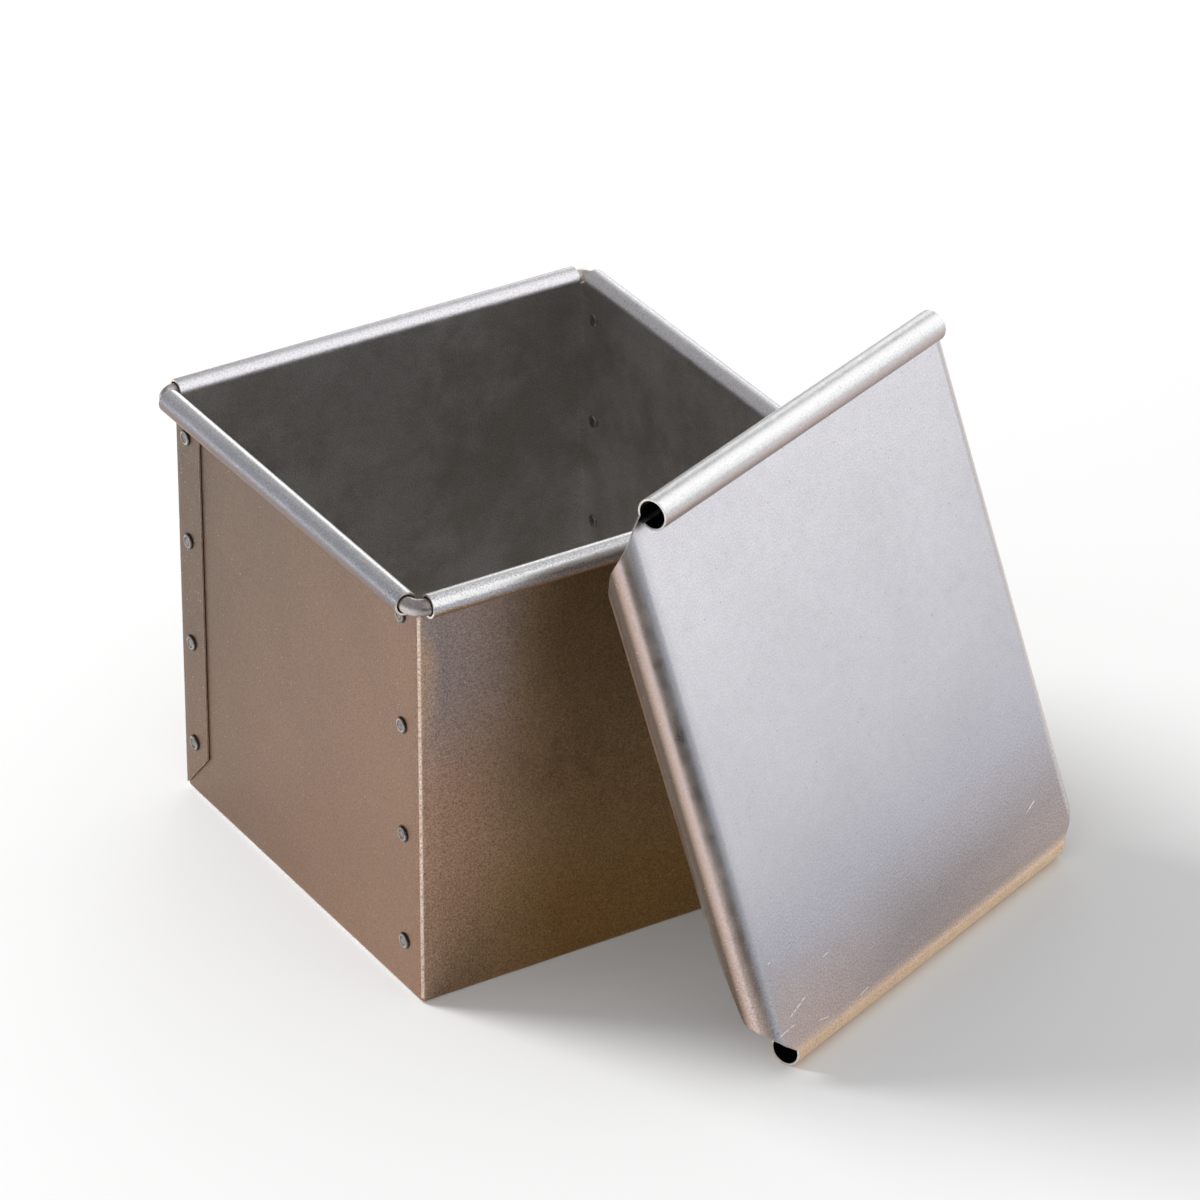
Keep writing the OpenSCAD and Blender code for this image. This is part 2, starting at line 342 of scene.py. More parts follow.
# The walls, from the bottom bend up to the corner notch, with the flaps of the front and back walls. The
# front edge of each side wall is dressed over the front fold.
wall_rows = [bend, lap_foot] + spread(lap_foot, notch_top, wall_steps)[1:]
wall_mid = inner_half + half_sheet
for side in range(4):
    if side == 0:
        fold, fold_mid, edge = front_bend, front_bend_mid, inner_half - lap_clear - flap_ease
    else:
        fold, fold_mid, edge = bend, bend_mid, inner_half + 2 * sheet + lap_clear
    reach = edge - fold
    if side in (0, 2):
        path = [(s, wall_mid) for s in [-reach] + [s for s in bottom_lines if abs(s) < reach] + [reach]]
    else:
        start = dressed_bend - wall_mid - dressed_lift
        path = [(start - dressed_bend, dressed_reach)]
        path += [
            (start - dressed_bend * math.sin(a), wall_mid - dressed_bend * (1 - math.cos(a)))
            for a in reversed(bend_angles)
        ]
        path += [(s, wall_mid) for s in bottom_lines[1:-1]] + [(inner_half - lap_clear, wall_mid)]
    grid_faces(blank, [[turned(side, s, out, z) for s, out in path] for z in wall_rows])
    if side in (0, 2):
        fold_middle = inner_half + sheet - fold
        for hand in (-1, 1):
            flap_rows = []
            for z in wall_rows[1:]:
                up = (z - lap_foot) / (notch_top - lap_foot)
                row = []
                for a in bend_angles:
                    across = hand * (reach + fold_mid * math.sin(a))
                    row.append(turned(side, across, fold_middle + fold_mid * math.cos(a), z))
                for out in spread(fold_middle, lap_edge, flap_steps)[1:]:
                    foot = lap_foot + lap_mitre * (fold_middle - out)
                    row.append(turned(side, hand * (reach + fold_mid), out, foot + (notch_top - foot) * up))
                flap_rows.append(row)
            grid_faces(blank, flap_rows)

# The top of each wall, cut square short of the corners and rolled outwards round the wire. Beside the
# roll the wall stands on up to the wire, so that the corner is closed below the elbow.
roll_angles = [math.radians(a) for a in spread(180, -180 + rim_open, roll_steps)]
tab_top = rim_axis - tab_short
for side in range(4):
    columns = [-rim_end] + [s for s in bottom_lines if abs(s) < rim_end] + [rim_end]
    upright = (notch_top, tab_top, rim_axis)
    grid_faces(blank, [[turned(side, s, wall_mid, z) for s in columns] for z in upright])
    grid_faces(blank, [
        [
            turned(
                side,
                s,
                inner_half + rim_radius + rim_mid * math.cos(a),
                rim_axis + rim_mid * math.sin(a),
            )
            for s in columns
        ]
        for a in roll_angles
    ])
    for hand in (-1, 1):
        tab = inner_half + tab_past if side in (0, 2) else inner_half - tab_back
        sides = (hand * rim_end, hand * tab)
        grid_faces(blank, [[turned(side, s, wall_mid, z) for s in sides] for z in upright[:2]])

pan = sheet_piece("pan_body_sheet", blank, sheet, raw_edge)


# What a rolled and baked sheet shows close up. Each pattern is given by its scale, detail and roughness,
# each band by where it starts and where it is whole, and each dent by its strength and its depth.
fine_grain = (2100, 1.5, 0.6)
middle_clouds = (300, 3, 0.6)
broad_clouds = (34, 3, 0.55)
slow_waves = (15, 1)
dents = ((0.35, 0.00005), (0.25, 0.00015), (0.6, 0.0007))
grain_depth = 0.9
middle_depth = 0.16
broad_depth = 0.14
middle_gloss = 0.24
broad_gloss = 0.12
speck_pattern = (1900, 0)
speck_band = (0.78, 0.89)
speck_share = 0.42
speck_white = (0.95, 0.95, 0.96)
pit_pattern = (1500, 0)
pit_shift = (0.013, 0.007, 0.021)
pit_band = (0.80, 0.90)
pit_share = 0.3
pit_black = (0.05, 0.045, 0.04)
scratch_bright = (0.97, 0.97, 0.98)


class Finish:
    """A metal finish on the bench: its material, and the steps that the finishes share."""

    def __init__(self, name):
        self.material = bpy.data.materials.new(name)
        self.material.use_nodes = True
        self.material.node_tree.nodes.clear()
        self.nodes = self.material.node_tree.nodes
        self.links = self.material.node_tree.links
        self.place = self.nodes.new("ShaderNodeTexCoord").outputs["Object"]

    def feed(self, socket, value):
        """Links a socket, or sets a plain number or colour."""
        if isinstance(value, bpy.types.NodeSocket):
            self.links.new(value, socket)
        elif isinstance(value, tuple) and len(value) < len(socket.default_value):
            socket.default_value = (*value, 1)
        else:
            socket.default_value = value

    def number(self, operation, *values):
        """One step of arithmetic."""
        node = self.nodes.new("ShaderNodeMath")
        node.operation = operation
        for socket, value in zip(node.inputs, values):
            self.feed(socket, value)
        return node.outputs[0]

    def vector(self, operation, *values, scale=None):
        """One step of arithmetic on places or colours."""
        node = self.nodes.new("ShaderNodeVectorMath")
        node.operation = operation
        for socket, value in zip(node.inputs, values):
            self.feed(socket, value)
        if scale is not None:
            self.feed(node.inputs["Scale"], scale)
        return node.outputs["Value"] if operation in ("DOT_PRODUCT", "LENGTH") else node.outputs[0]

    def axes(self, place):
        """The three measures of a place."""
        node = self.nodes.new("ShaderNodeSeparateXYZ")
        self.links.new(place, node.inputs[0])
        return node.outputs[0], node.outputs[1], node.outputs[2]

    def band(self, value, start, end):
        """A smooth step from 0 at start to 1 at end."""
        node = self.nodes.new("ShaderNodeMapRange")
        node.interpolation_type = "SMOOTHSTEP"
        self.feed(node.inputs["Value"], value)
        node.inputs["From Min"].default_value = start
        node.inputs["From Max"].default_value = end
        return node.outputs["Result"]

    def both(self, *shares):
        """The product of several shares."""
        product = shares[0]
        for share in shares[1:]:
            product = self.number("MULTIPLY", product, share)
        return product

    def mix(self, share, first, second):
        """The first colour, with this share of the second."""
        node = self.nodes.new("ShaderNodeMix")
        node.data_type = "RGBA"
        self.feed(node.inputs["Factor"], share)
        self.feed(node.inputs[6], first)
        self.feed(node.inputs[7], second)
        return node.outputs[2]

    def noise(self, place, scale, detail=2.0, roughness=0.5):
        """An uneven pattern, from 0 to 1."""
        node = self.nodes.new("ShaderNodeTexNoise")
        node.inputs["Scale"].default_value = scale
        node.inputs["Detail"].default_value = detail
        node.inputs["Roughness"].default_value = roughness
        self.links.new(place, node.inputs["Vector"])
        return node.outputs["Fac"]

    def ramp(self, value, unit, stops):
        """Tones along a length or an angle: each stop is a place, in that unit, and its colour."""
        first, last = stops[0][0], stops[-1][0]
        node = self.nodes.new("ShaderNodeValToRGB")
        length = last - first
        self.feed(node.inputs[0], self.number("MULTIPLY_ADD", value, 1 / length / unit, -first / length))
        for stop in stops[1:-1]:
            node.color_ramp.elements.new((stop[0] - first) / length)
        for element, stop in zip(node.color_ramp.elements, stops):
            element.color = (*stop[1], 1)
        return node.outputs[0]

    def gap(self, first, second, middle_first, middle_second):
        """Distance of two measures, taken together, from a middle in millimetres."""
        squares = []
        for value, middle in ((first, middle_first), (second, middle_second)):
            away = self.number("SUBTRACT", value, middle * mm)
            squares.append(self.number("MULTIPLY", away, away))
        return self.number("SQRT", self.number("ADD", *squares))

    def satin(self, place, colour, gloss, grain=1.0, cloud=1.0, bright=None):
        """Rolled and baked sheet: fine grain, soft clouds, specks and pits, in colour and in gloss."""
        fine = self.noise(place, *fine_grain)
        middle = self.noise(place, *middle_clouds)
        broad = self.noise(place, *broad_clouds)
        waves = self.noise(place, *slow_waves)
        swing = self.number("MULTIPLY", self.number("SUBTRACT", fine, 0.5), grain)
        tone = self.number("MULTIPLY_ADD", swing, grain_depth, 1.0)
        for clouds, depth in ((middle, middle_depth * cloud), (broad, broad_depth * cloud)):
            tone = self.number("MULTIPLY", tone, self.number("MULTIPLY_ADD", clouds, depth, 1 - depth / 2))
        shade = self.vector("SCALE", colour, scale=tone)
        specks = self.band(self.noise(place, *speck_pattern), *speck_band)
        shade = self.mix(self.number("MULTIPLY", specks, speck_share), shade, speck_white)
        pits = self.band(self.noise(self.vector("ADD", place, pit_shift), *pit_pattern), *pit_band)
        shade = self.mix(self.number("MULTIPLY", pits, pit_share), shade, pit_black)
        rough = self.number("MULTIPLY_ADD", self.number("SUBTRACT", middle, 0.5), middle_gloss, gloss)
        rough = self.number("MULTIPLY_ADD", self.number("SUBTRACT", broad, 0.5), broad_gloss, rough)
        if bright is not None:
            shade = self.mix(bright, shade, scratch_bright)
        metal = self.nodes.new("ShaderNodeBsdfPrincipled")
        metal.inputs["Metallic"].default_value = 1.0
        self.links.new(shade, metal.inputs["Base Color"])
        self.links.new(rough, metal.inputs["Roughness"])
        normal = None
        for height, (strength, distance) in zip((fine, middle, waves), dents):
            bump = self.nodes.new("ShaderNodeBump")
            bump.inputs["Strength"].default_value = strength
            bump.inputs["Distance"].default_value = distance
            self.links.new(height, bump.inputs["Height"])
            if normal is not None:
                self.links.new(normal, bump.inputs["Normal"])
            normal = bump.outputs["Normal"]
        self.links.new(normal, metal.inputs["Normal"])
        out = self.nodes.new("ShaderNodeOutputMaterial")
        self.links.new(metal.outputs[0], out.inputs["Surface"])
        return self.material


# Its finish: silver on the rolls and inside, with the walls brown, partly from baking and partly as a
# painted reflection of brown surroundings. The side walls darken high up towards the back, and the front
# wall carries painted reflection and shade, darker away from its corner. The rolls carry painted shade below
# and painted highlights on top, and the dressed corner edges a painted highlight line. The front wall's
# tones run in millimetres from left to right, the rolls' in degrees round the wire, and the bands in metres.
# The side walls' brown is partly baked browning and partly a painted reflection of brown surroundings; it
# darkens towards the top and the back.
side_light = (0.378, 0.224, 0.148)
side_deep = (0.160, 0.113, 0.081)
# The front wall's tones are painted reflection and shade over its brown: paler by the corner, greyish high
# up, darker high up towards the right and at the foot.
front_high = [
    (-60.4, (0.43, 0.300, 0.220)),
    (-58.6, (0.37, 0.275, 0.225)),
    (-56, (0.285, 0.235, 0.225)),
    (-38, (0.365, 0.278, 0.238)),
    (-28, (0.370, 0.260, 0.165)),
    (-16, (0.315, 0.205, 0.110)),
]
front_low = [
    (-58, (0.375, 0.236, 0.172)),
    (-38, (0.375, 0.245, 0.158)),
    (-16, (0.385, 0.258, 0.138)),
    (4, (0.410, 0.285, 0.155)),
]
front_foot = [
    (-58, (0.320, 0.210, 0.145)),
    (-40, (0.340, 0.215, 0.113)),
    (-22, (0.320, 0.183, 0.068)),
    (4, (0.350, 0.205, 0.078)),
]
inside_silver = (0.88, 0.87, 0.86)
inside_dull = (0.66, 0.63, 0.60)
corner_highlight = (0.74, 0.60, 0.51)
shade_black = (0.035, 0.03, 0.028)
# The rolls' tones round the wire are painted reflection, highlights and shade: brown and dark below, bright
# bands on top; the far and the front rolls have their own.
roll_painted_light = [
    (-50, (0.24, 0.160, 0.120)),
    (-25, (0.235, 0.145, 0.100)),
    (-5, (0.250, 0.180, 0.158)),
    (8, (0.265, 0.230, 0.228)),
    (18, (0.33, 0.32, 0.34)),
    (32, (0.76, 0.76, 0.84)),
    (60, (0.80, 0.80, 0.88)),
    (75, (0.96, 0.95, 1.0)),
    (84, (0.88, 0.87, 0.90)),
    (94, (0.58, 0.58, 0.59)),
    (104, (0.84, 0.84, 0.85)),
    (116, (1.0, 1.0, 1.0)),
    (125, (1.0, 1.0, 1.0)),
]
far_roll_painted_light = [
    (-50, (0.24, 0.160, 0.120)),
    (-5, (0.250, 0.180, 0.158)),
    (18, (0.33, 0.32, 0.34)),
    (32, (0.76, 0.76, 0.84)),
    (50, (0.78, 0.78, 0.82)),
    (66, (0.66, 0.66, 0.68)),
    (80, (0.71, 0.70, 0.72)),
    (91, (0.62, 0.61, 0.65)),
    (100, (1.0, 0.98, 1.0)),
    (113, (0.96, 0.94, 0.98)),
    (125, (0.92, 0.90, 0.94)),
]
front_roll_painted_light = [
    (-50, (0.72, 0.47, 0.24)),
    (-25, (0.55, 0.37, 0.25)),
    (-5, (0.54, 0.48, 0.465)),
    (6, (0.57, 0.54, 0.57)),
    (15, (0.70, 0.73, 0.82)),
    (23, (1.0, 1.0, 1.0)),
    (46, (1.0, 1.0, 1.0)),
    (56, (0.71, 0.70, 0.73)),
    (66, (0.76, 0.75, 0.78)),
    (76, (1.0, 1.0, 1.0)),
    (100, (0.95, 0.95, 0.95)),
]
patches = (22, 2)
brown_upward = 0.52 / 0.119
brown_backward = 0.60 / 0.12
brown_least = 0.31
brown_patches = 0.35
corner_wander = 0.02
high_up = (0.055, 0.095)
low_down = (0.052, 0.012)
outer_skin = (0.0601, 0.0604)
front_skin = (-0.0601, -0.0604)
front_fold = (0.1189, 0.11905)
front_half = (0.0, -0.001)
far_half = (-0.001, 0.001)
patina_pattern = (42, 5, 0.62)
patina_band = (0.36, 0.66)
highlight_line = (0.12034, 0.12057)
highlight_break_pattern = (900, 3, 0.7)
highlight_break_band = (0.22, 0.52)
rivet_shadow = (0.00255, 0.0022)
shadow_share = 0.6
roll_above = (0.1160, 0.1164)
roll_beside = (0.1122, 0.1130)
roll_outside = (0.06035, 0.0606)
front_roll_skin = (-0.0600, -0.0604)
front_roll_end = (0.0, 0.0004)
roll_hollow = (0.00275, 0.00262)
pan_gloss = 0.36
pan_grain = 1.1
front_grain = 0.7
pan_clouds = 1.3
rivet_rows = ((-52.3, 14.6, 108.8), (54.4, 16.5, 107.1))
rivets_each = 4

steel = Finish("pan_sheet_steel")
x, y, z = steel.axes(steel.place)
out_x = steel.number("ABSOLUTE", x)
out_y = steel.number("ABSOLUTE", y)
furthest = steel.number("MAXIMUM", out_x, out_y)
# Side walls: brown, partly painted reflection, darker towards the top and the back
uneven = steel.number("SUBTRACT", steel.noise(steel.place, *patches), 0.5)
side_brown_share = steel.number("MULTIPLY_ADD", z, brown_upward, brown_least)
side_brown_share = steel.number("MULTIPLY_ADD", y, brown_backward, side_brown_share)
side_brown_share = steel.number("MULTIPLY_ADD", uneven, brown_patches, side_brown_share)
side_tone = steel.mix(side_brown_share, side_light, side_deep)
# Front wall: painted reflection and shade across it and up it
from_corner = steel.number("MULTIPLY_ADD", uneven, corner_wander, x)
front_tone = steel.ramp(from_corner, mm, front_low)
front_tone = steel.mix(steel.band(z, *high_up), front_tone, steel.ramp(from_corner, mm, front_high))
front_tone = steel.mix(steel.band(z, *low_down), front_tone, steel.ramp(from_corner, mm, front_foot))
on_front = steel.number(
    "MAXIMUM",
    steel.band(y, *front_skin),
    steel.both(steel.band(steel.number("ADD", out_x, out_y), *front_fold), steel.band(y, *front_half)),
)
on_side = steel.band(out_x, *outer_skin)
on_back = steel.band(y, *outer_skin)
patina = steel.band(steel.noise(steel.place, *patina_pattern), *patina_band)
tone = steel.mix(on_front, steel.mix(patina, inside_silver, inside_dull), front_tone)
tone = steel.mix(steel.number("MAXIMUM", on_side, on_back), tone, side_tone)
# A painted highlight line along the rounded front corners, broken up by noise
corner_highlight_share = steel.both(
    steel.band(steel.number("ADD", out_x, out_y), *highlight_line),
    steel.band(y, *front_half),
    steel.band(steel.noise(steel.place, *highlight_break_pattern), *highlight_break_band),
)
tone = steel.mix(corner_highlight_share, tone, corner_highlight)
# A painted shadow ring on the side walls round each rivet head
for row_y, low, high in rivet_rows:
    step = (high - low) / (rivets_each - 1)
    height = steel.number("WRAP", steel.number("SUBTRACT", z, low * mm), step / 2 * mm, -step / 2 * mm)
    around = steel.band(steel.gap(y, height, row_y, 0), *rivet_shadow)
    tone = steel.mix(steel.both(around, on_side, shadow_share), tone, shade_black)
on_roll = steel.number(
    "MAXIMUM",
    steel.band(z, *roll_above),
    steel.both(steel.band(z, *roll_beside), steel.band(furthest, *roll_outside)),
)
wire_line = inner_half + rim_radius
round_roll = steel.number(
    "ARCTAN2",
    steel.number("SUBTRACT", z, rim_axis * mm),
    steel.number("SUBTRACT", furthest, wire_line * mm),
)
# Rolls: painted reflection, highlights and shade round the wire
roll_light_tone = steel.mix(
    steel.band(steel.number("ADD", x, y), *far_half),
    steel.ramp(round_roll, degree, roll_painted_light),
    steel.ramp(round_roll, degree, far_roll_painted_light),
)
roll_light_tone = steel.mix(
    steel.both(
        steel.band(y, *front_roll_skin),
        steel.band(steel.number("SUBTRACT", out_y, out_x), *front_roll_end),
    ),
    roll_light_tone,
    steel.ramp(round_roll, degree, front_roll_painted_light),
)
tone = steel.mix(on_roll, tone, roll_light_tone)
# Painted shade in the hollow of each roll, round the wire
from_wire = steel.number(
    "MINIMUM", steel.gap(out_x, z, wire_line, rim_axis), steel.gap(out_y, z, wire_line, rim_axis)
)
tone = steel.mix(steel.band(from_wire, *roll_hollow), tone, shade_black)
grain = steel.number("MULTIPLY_ADD", on_front, front_grain, pan_grain)
pan.data.materials.append(steel.satin(steel.place, tone, pan_gloss, grain, pan_clouds))

# The cut edges: bright bare steel, dulled where the back flaps lap the side walls
edge_bright = (0.88, 0.78, 0.70)
edge_dull = (0.62, 0.52, 0.46)
edge_gloss = 0.42
lap_line = (0.06062, 0.06075)
below_roll = (0.1125, 0.1115)

edge = Finish("pan_cut_edge")
x, y, z = edge.axes(edge.place)
lapped = edge.both(edge.band(edge.number("ABSOLUTE", x), *lap_line), edge.band(z, *below_roll))
pan.data.materials.append(edge.satin(edge.place, edge.mix(lapped, edge_bright, edge_dull), edge_gloss))

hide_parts("pan_body")
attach(pan, "pan")


# Rim wire: one closed loop of drawn steel wire that stiffens the rim. It lies loose inside the rolls, which
# are closed round it, and is bent to an elbow at each corner, left bare between the ends of the rolls.
wire_width = 4.3
wire_facets = 28
elbow_bend = rim_radius + inner_half - rim_end
elbow_steps = 10
wire_bright = (0.61, 0.565, 0.56)
wire_dull = (0.37, 0.33, 0.315)
wire_far = (0.88, 0.84, 0.79)
wire_gloss = 0.40
tarnish_pattern = (130, 3)
tarnish_band = (0.4, 0.65)
far_corner = (0.07, 0.10)


def shaping_tree(name):
    """A Geometry Nodes tree that takes in and gives out one geometry."""
    tree = bpy.data.node_groups.new(name, "GeometryNodeTree")
    tree.is_modifier = True
    for way in ("INPUT", "OUTPUT"):
        tree.interface.new_socket(name="Geometry", in_out=way, socket_type="NodeSocketGeometry")
    return tree


def tree_socket(tree, name, kind, value=None):
    """Adds a named input to a node tree and returns its identifier."""
    socket = tree.interface.new_socket(name=name, in_out="INPUT", socket_type=kind)
    if value is not None:
        socket.default_value = value
    return socket.identifier


def end_tree(tree, given, geometry):
    """Ends a tree: what it made becomes real mesh, and takes the finish that the tree was given."""
    real = tree.nodes.new("GeometryNodeRealizeInstances")
    dressed = tree.nodes.new("GeometryNodeSetMaterial")
    made = tree.nodes.new("NodeGroupOutput")
    tree.links.new(geometry, real.inputs["Geometry"])
    tree.links.new(real.outputs["Geometry"], dressed.inputs["Geometry"])
    tree.links.new(given.outputs["Finish"], dressed.inputs["Material"])
    tree.links.new(dressed.outputs["Geometry"], made.inputs["Geometry"])


def grown_mesh(carrier, name):
    """The plain mesh that a carrier's Geometry Nodes make, in place of the carrier."""
    bpy.context.view_layer.update()
    seen_now = carrier.evaluated_get(bpy.context.evaluated_depsgraph_get())
    mesh = bpy.data.meshes.new_from_object(seen_now)
    mesh.name = name
    piece = put_in_scene(name, mesh)
    bpy.data.objects.remove(carrier)
    return piece


drawn = Finish("rim_wire_steel")
tarnish = drawn.band(drawn.noise(drawn.place, *tarnish_pattern), *tarnish_band)
wire_tone = drawn.mix(tarnish, wire_bright, wire_dull)
x, y, z = drawn.axes(drawn.place)
# A painted highlight: the back right elbow is paler than the rest of the wire
wire_tone = drawn.mix(drawn.band(drawn.number("ADD", x, y), *far_corner), wire_tone, wire_far)
wire_finish = drawn.satin(drawn.place, wire_tone, wire_gloss)

sweep = shaping_tree("bent wire")
wire_width_id = tree_socket(sweep, "Wire width", "NodeSocketFloat", wire_width * mm)
wire_facets_id = tree_socket(sweep, "Facets", "NodeSocketInt", wire_facets)
wire_finish_id = tree_socket(sweep, "Finish", "NodeSocketMaterial")
nodes, links = sweep.nodes, sweep.links
given = nodes.new("NodeGroupInput")
centre_line = nodes.new("GeometryNodeMeshToCurve")
section = nodes.new("GeometryNodeCurvePrimitiveCircle")
half_width = nodes.new("ShaderNodeMath")
half_width.operation = "MULTIPLY"
half_width.inputs[1].default_value = 0.5
tube = nodes.new("GeometryNodeCurveToMesh")
smooth = nodes.new("GeometryNodeSetShadeSmooth")
links.new(given.outputs["Geometry"], centre_line.inputs["Mesh"])
links.new(given.outputs["Wire width"], half_width.inputs[0])
links.new(half_width.outputs[0], section.inputs["Radius"])
links.new(given.outputs["Facets"], section.inputs["Resolution"])
links.new(centre_line.outputs["Curve"], tube.inputs["Curve"])
links.new(section.outputs["Curve"], tube.inputs["Profile Curve"])
links.new(tube.outputs["Mesh"], smooth.inputs["Geometry"])
end_tree(sweep, given, smooth.outputs["Geometry"])

loop = []
for quarter, (corner_x, corner_y) in enumerate(((1, 1), (-1, 1), (-1, -1), (1, -1))):
    for a in spread(90 * quarter, 90 * quarter + 90, elbow_steps):
        loop.append((
            (corner_x * rim_end + elbow_bend * math.cos(math.radians(a))) * mm,
            (corner_y * rim_end + elbow_bend * math.sin(math.radians(a))) * mm,
            rim_axis * mm,
        ))
path_mesh = bpy.data.meshes.new("wire path")
path_mesh.from_pydata(loop, [(i, (i + 1) % len(loop)) for i in range(len(loop))], [])
path = put_in_scene("wire path", path_mesh)
bending = path.modifiers.new("bent wire", "NODES")
bending.node_group = sweep
bending[wire_width_id] = wire_width * mm
bending[wire_facets_id] = wire_facets
bending[wire_finish_id] = wire_finish
wire = grown_mesh(path, "rim_wire_loop")
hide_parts("rim_wire")
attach(wire, "pan")


# Rivets: sixteen, of steel, four up each corner, through the side wall and the flap. Flat dished heads
# outside, shanks through both layers, and tails closed flat inside the pan.
head_radius = 2.1
head_height = 0.7
shank_radius = 1.2
tail_radius = 1.8
tail_height = 0.5
held = 2 * sheet + lap_clear
rivet_facets = 28
rivet_sharp = 40
rivet_variation = 0.02
rivet_seed = 4
rivet_gloss = 0.42
patch_pattern = (500, 2)
patch_depth = 1.6
patch_least = -0.3
rivet_shade_and_wear_tones = [(0, (0.075, 0.066, 0.060)), (0.4, (0.40, 0.365, 0.345)), (1, (0.84, 0.81, 0.78))]

# Its outline from the middle of the head to the middle of the tail: radius, place along it and tone
# share, which is low for painted shade on the flanks and the dish slope and high for wear on the raised rim
profile = [
    (0, head_height - 0.15, 0.5),
    (head_radius * 0.35, head_height - 0.14, 0.55),
    (head_radius * 0.58, head_height - 0.09, 0.15),
    (head_radius * 0.76, head_height, 1),
    (head_radius * 0.86, head_height - 0.05, 0.6),
    (head_radius * 0.97, head_height * 0.55, 0.1),
    (head_radius, head_height * 0.3, 0),
    (head_radius, 0, 0),
    (shank_radius, 0, 0),
    (shank_radius, -held, 0),
    (tail_radius, -held, 0.2),
    (tail_radius, -held - tail_height * 0.5, 0.5),
    (tail_radius - tail_height * 0.2, -held - tail_height * 0.85, 0.9),
    (tail_radius - tail_height * 0.5, -held - tail_height, 0.8),
    (0, -held - tail_height, 0.5),
]
pattern = bmesh.new()
tone_share = pattern.verts.layers.float.new("tone_share")
rings = []
for radius, x, shade_and_wear in profile:
    count = 1 if radius == 0 else rivet_facets
    ring = []
    for i in range(count):
        turn = math.tau * i / rivet_facets
        vert = pattern.verts.new((x * mm, radius * math.cos(turn) * mm, radius * math.sin(turn) * mm))
        vert[tone_share] = shade_and_wear
        ring.append(vert)
    rings.append(ring)
for first, second in zip(rings, rings[1:]):
    for i in range(rivet_facets):
        j = (i + 1) % rivet_facets
        corners = [ring[k % len(ring)] for ring, k in ((first, i), (second, i), (second, j), (first, j))]
        pattern.faces.new(list(dict.fromkeys(corners)))
bmesh.ops.recalc_face_normals(pattern, faces=pattern.faces)
rivet_mesh = bpy.data.meshes.new("rivet pattern")
pattern.to_mesh(rivet_mesh)
pattern.free()
rivet_mesh.polygons.foreach_set("use_smooth", [True] * len(rivet_mesh.polygons))
rivet_mesh.set_sharp_from_angle(angle=math.radians(rivet_sharp))
rivet_pattern = put_in_scene("rivet pattern", rivet_mesh)

# The rivets' tone: painted shade on the flanks and the dish slope, wear on the raised rim, in patches
riveted = Finish("rivet_steel")
shade_and_wear = riveted.nodes.new("ShaderNodeAttribute")
shade_and_wear.attribute_name = "tone_share"
patchy = riveted.noise(riveted.place, *patch_pattern)
patchy = riveted.number("MULTIPLY_ADD", patchy, patch_depth, patch_least)
rivet_shade_and_wear = riveted.number("MULTIPLY", shade_and_wear.outputs["Fac"], patchy)
rivet_tone = riveted.ramp(rivet_shade_and_wear, 1, rivet_shade_and_wear_tones)
rivet_finish = riveted.satin(riveted.place, rivet_tone, rivet_gloss)

row_tree = shaping_tree("rivet rows")
rivet_id = tree_socket(row_tree, "Rivet", "NodeSocketObject")
each_id = tree_socket(row_tree, "Rivets in each row", "NodeSocketInt", rivets_each)
vary_id = tree_socket(row_tree, "Size variation", "NodeSocketFloat", rivet_variation)
seed_id = tree_socket(row_tree, "Seed", "NodeSocketInt", rivet_seed)
rivet_finish_id = tree_socket(row_tree, "Finish", "NodeSocketMaterial")
nodes, links = row_tree.nodes, row_tree.links
given = nodes.new("NodeGroupInput")
repeat = nodes.new("GeometryNodeDuplicateElements")
repeat.domain = "POINT"
step = nodes.new("GeometryNodeInputNamedAttribute")
step.data_type = "FLOAT"
step.inputs["Name"].default_value = "step"
facing = nodes.new("GeometryNodeInputNamedAttribute")
facing.data_type = "FLOAT"
facing.inputs["Name"].default_value = "facing"
rise = nodes.new("ShaderNodeMath")
rise.operation = "MULTIPLY"
shift = nodes.new("ShaderNodeCombineXYZ")
placed = nodes.new("GeometryNodeSetPosition")
spin = nodes.new("FunctionNodeRandomValue")
spin.data_type = "FLOAT"
spin.inputs["Min"].default_value = 0
spin.inputs["Max"].default_value = math.tau
grow = nodes.new("FunctionNodeRandomValue")
grow.data_type = "FLOAT"
grow.inputs["Max"].default_value = 1
smallest = nodes.new("ShaderNodeMath")
smallest.operation = "SUBTRACT"
smallest.inputs[0].default_value = 1
size = nodes.new("ShaderNodeCombineXYZ")
size.inputs["X"].default_value = 1
turn_to = nodes.new("ShaderNodeCombineXYZ")
setting = nodes.new("GeometryNodeInstanceOnPoints")
source = nodes.new("GeometryNodeObjectInfo")
links.new(given.outputs["Geometry"], repeat.inputs["Geometry"])
links.new(given.outputs["Rivets in each row"], repeat.inputs["Amount"])
links.new(repeat.outputs["Duplicate Index"], rise.inputs[0])
links.new(step.outputs["Attribute"], rise.inputs[1])
links.new(rise.outputs[0], shift.inputs["Z"])
links.new(repeat.outputs["Geometry"], placed.inputs["Geometry"])
links.new(shift.outputs[0], placed.inputs["Offset"])
links.new(placed.outputs["Geometry"], setting.inputs["Points"])
links.new(given.outputs["Rivet"], source.inputs["Object"])
links.new(source.outputs["Geometry"], setting.inputs["Instance"])
links.new(given.outputs["Seed"], spin.inputs["Seed"])
links.new(given.outputs["Seed"], grow.inputs["Seed"])
links.new(given.outputs["Size variation"], smallest.inputs[1])
links.new(smallest.outputs[0], grow.inputs["Min"])
links.new(grow.outputs["Value"], size.inputs["Y"])
links.new(grow.outputs["Value"], size.inputs["Z"])
links.new(spin.outputs["Value"], turn_to.inputs["X"])
links.new(facing.outputs["Attribute"], turn_to.inputs["Z"])
links.new(turn_to.outputs[0], setting.inputs["Rotation"])
